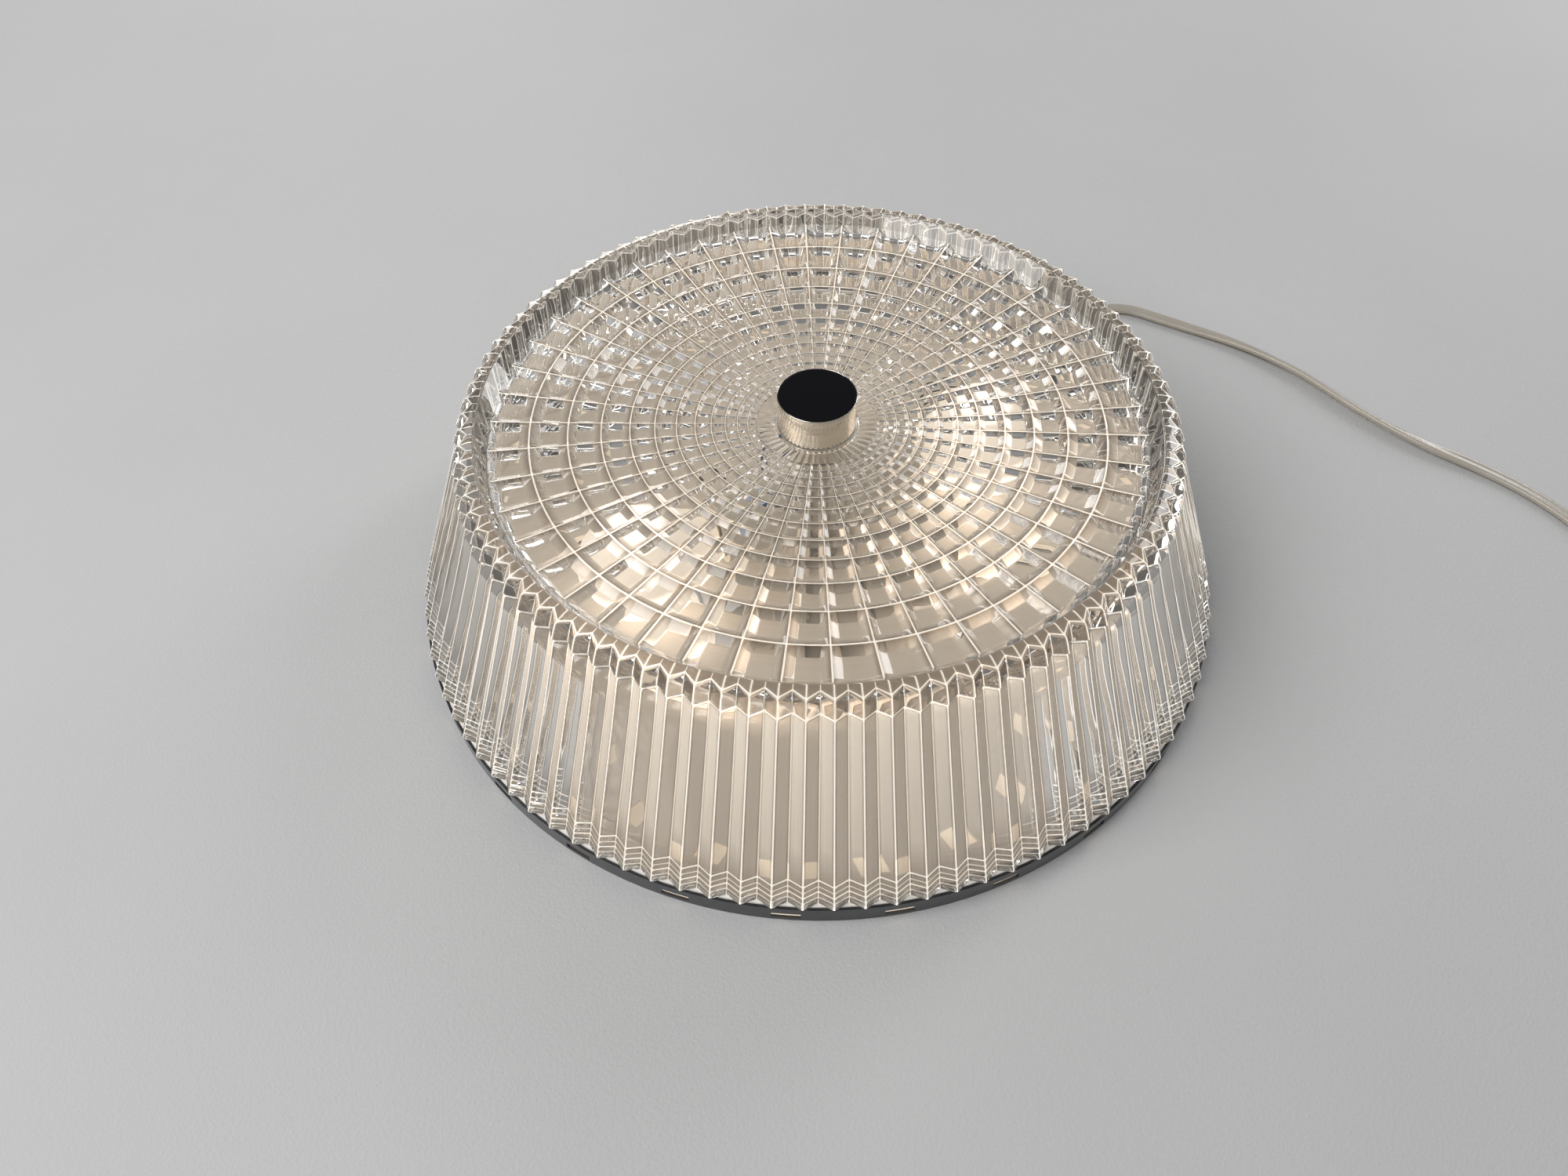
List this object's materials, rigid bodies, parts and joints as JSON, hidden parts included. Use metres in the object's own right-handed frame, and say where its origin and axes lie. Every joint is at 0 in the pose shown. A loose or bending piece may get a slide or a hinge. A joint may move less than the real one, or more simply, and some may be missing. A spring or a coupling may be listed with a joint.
{
  "type": "flush mount ceiling light",
  "caption": "Round flush mount ceiling light: pressed clear glass drum shade with ribbed wall and sunburst face, held by a central knob over lamps on a black steel pan.",
  "frame": {"origin": "middle of the mounting face, on the ceiling side of the base pan", "axes": "+Z from the ceiling into the room, along the stud and knob; the lamps lie on a line 27 degrees from +X; the supply lead leaves the skirt between +X and +Y"},
  "size_m": [0.5825, 0.3342, 0.0925],
  "materials": {
    "black_lacquer": "gloss black lacquer",
    "white_enamel": "satin white enamel",
    "zinc_steel": "zinc plated",
    "bright_steel": "plain steel",
    "brass": "bright",
    "socket_ceramic": "glazed white",
    "clear_glass": "clear pressed",
    "frosted_glass": "frosted, warm white",
    "cap_aluminium": "bright",
    "black_insulator": "black vitreous",
    "satin_nickel": "satin nickel",
    "black_gloss": "polished black",
    "clear_silicone": "translucent",
    "black_rubber": "matt",
    "white_nylon": "matt",
    "wire_brown": "insulated wire",
    "wire_blue": "insulated wire",
    "clear_flex": "translucent twin flex",
    "white_plug": "moulded"
  },
  "bodies": {
    "base": {"base_pan": "black_lacquer", "reflector_tray": "white_enamel", "cable_grommet": "black_rubber", "lead_grommet": "black_rubber", "centre_stud": "zinc_steel", "lock_washer": "zinc_steel", "lock_nut": "zinc_steel", "bridge_bracket": "white_enamel", "lampholder_1": "socket_ceramic", "lampholder_2": "socket_ceramic", "socket_shell_1": "brass", "socket_shell_2": "brass", "centre_contact_1": "brass", "centre_contact_2": "brass", "holder_screws": "bright_steel", "terminal_block": "white_nylon", "terminal_sleeves": "brass", "terminal_screws": "bright_steel", "block_fixing_screw": "bright_steel", "lead_clamp": "white_nylon", "clamp_screws": "bright_steel", "live_wires": "wire_brown", "neutral_wires": "wire_blue", "supply_lead_inside": "clear_flex", "lead_cores": "wire_brown", "supply_cord": "clear_flex", "cord_coil": "clear_flex", "cord_tail": "clear_flex", "plug_body": "white_plug", "plug_pins": "satin_nickel"},
    "shade": {"glass_shade": "clear_glass", "shade_gasket": "clear_silicone"},
    "knob_seat": {"knob_washer": "satin_nickel"},
    "knob": {"knob_shell": "satin_nickel", "knob_insert": "brass", "knob_disc": "black_gloss"},
    "lamp_1": {"lamp_globe_1": "frosted_glass", "lamp_cap_1": "cap_aluminium", "lamp_insulator_1": "black_insulator"},
    "lamp_2": {"lamp_globe_2": "frosted_glass", "lamp_cap_2": "cap_aluminium", "lamp_insulator_2": "black_insulator"}
  },
  "joints": [
    {"name": "shade_lift", "type": "slide", "parent": "base", "child": "shade", "axis": [0, 0, 1], "range_m": [0, 0.09]},
    {"name": "knob_rise", "type": "slide", "parent": "shade", "child": "knob_seat", "axis": [0, 0, 1], "range_m": [0, 0.01]},
    {"name": "knob_turn", "type": "hinge", "parent": "knob_seat", "child": "knob", "pos_m": [0, 0, 0.0784], "axis": [0, 0, 1], "range_deg": [0, 3600]},
    {"name": "lamp_1_turn", "type": "hinge", "parent": "base", "child": "lamp_1", "pos_m": [0.02673, 0.01362, 0.036], "axis": [0.891, 0.454, 0], "range_deg": [0, 1440]},
    {"name": "lamp_2_turn", "type": "hinge", "parent": "base", "child": "lamp_2", "pos_m": [-0.02673, -0.01362, 0.036], "axis": [-0.891, -0.454, 0], "range_deg": [0, 1440]}
  ],
  "couplings": [
    {"joint": "knob_rise", "follows": "knob_turn", "m_per_rad": 0.00015915}
  ]
}
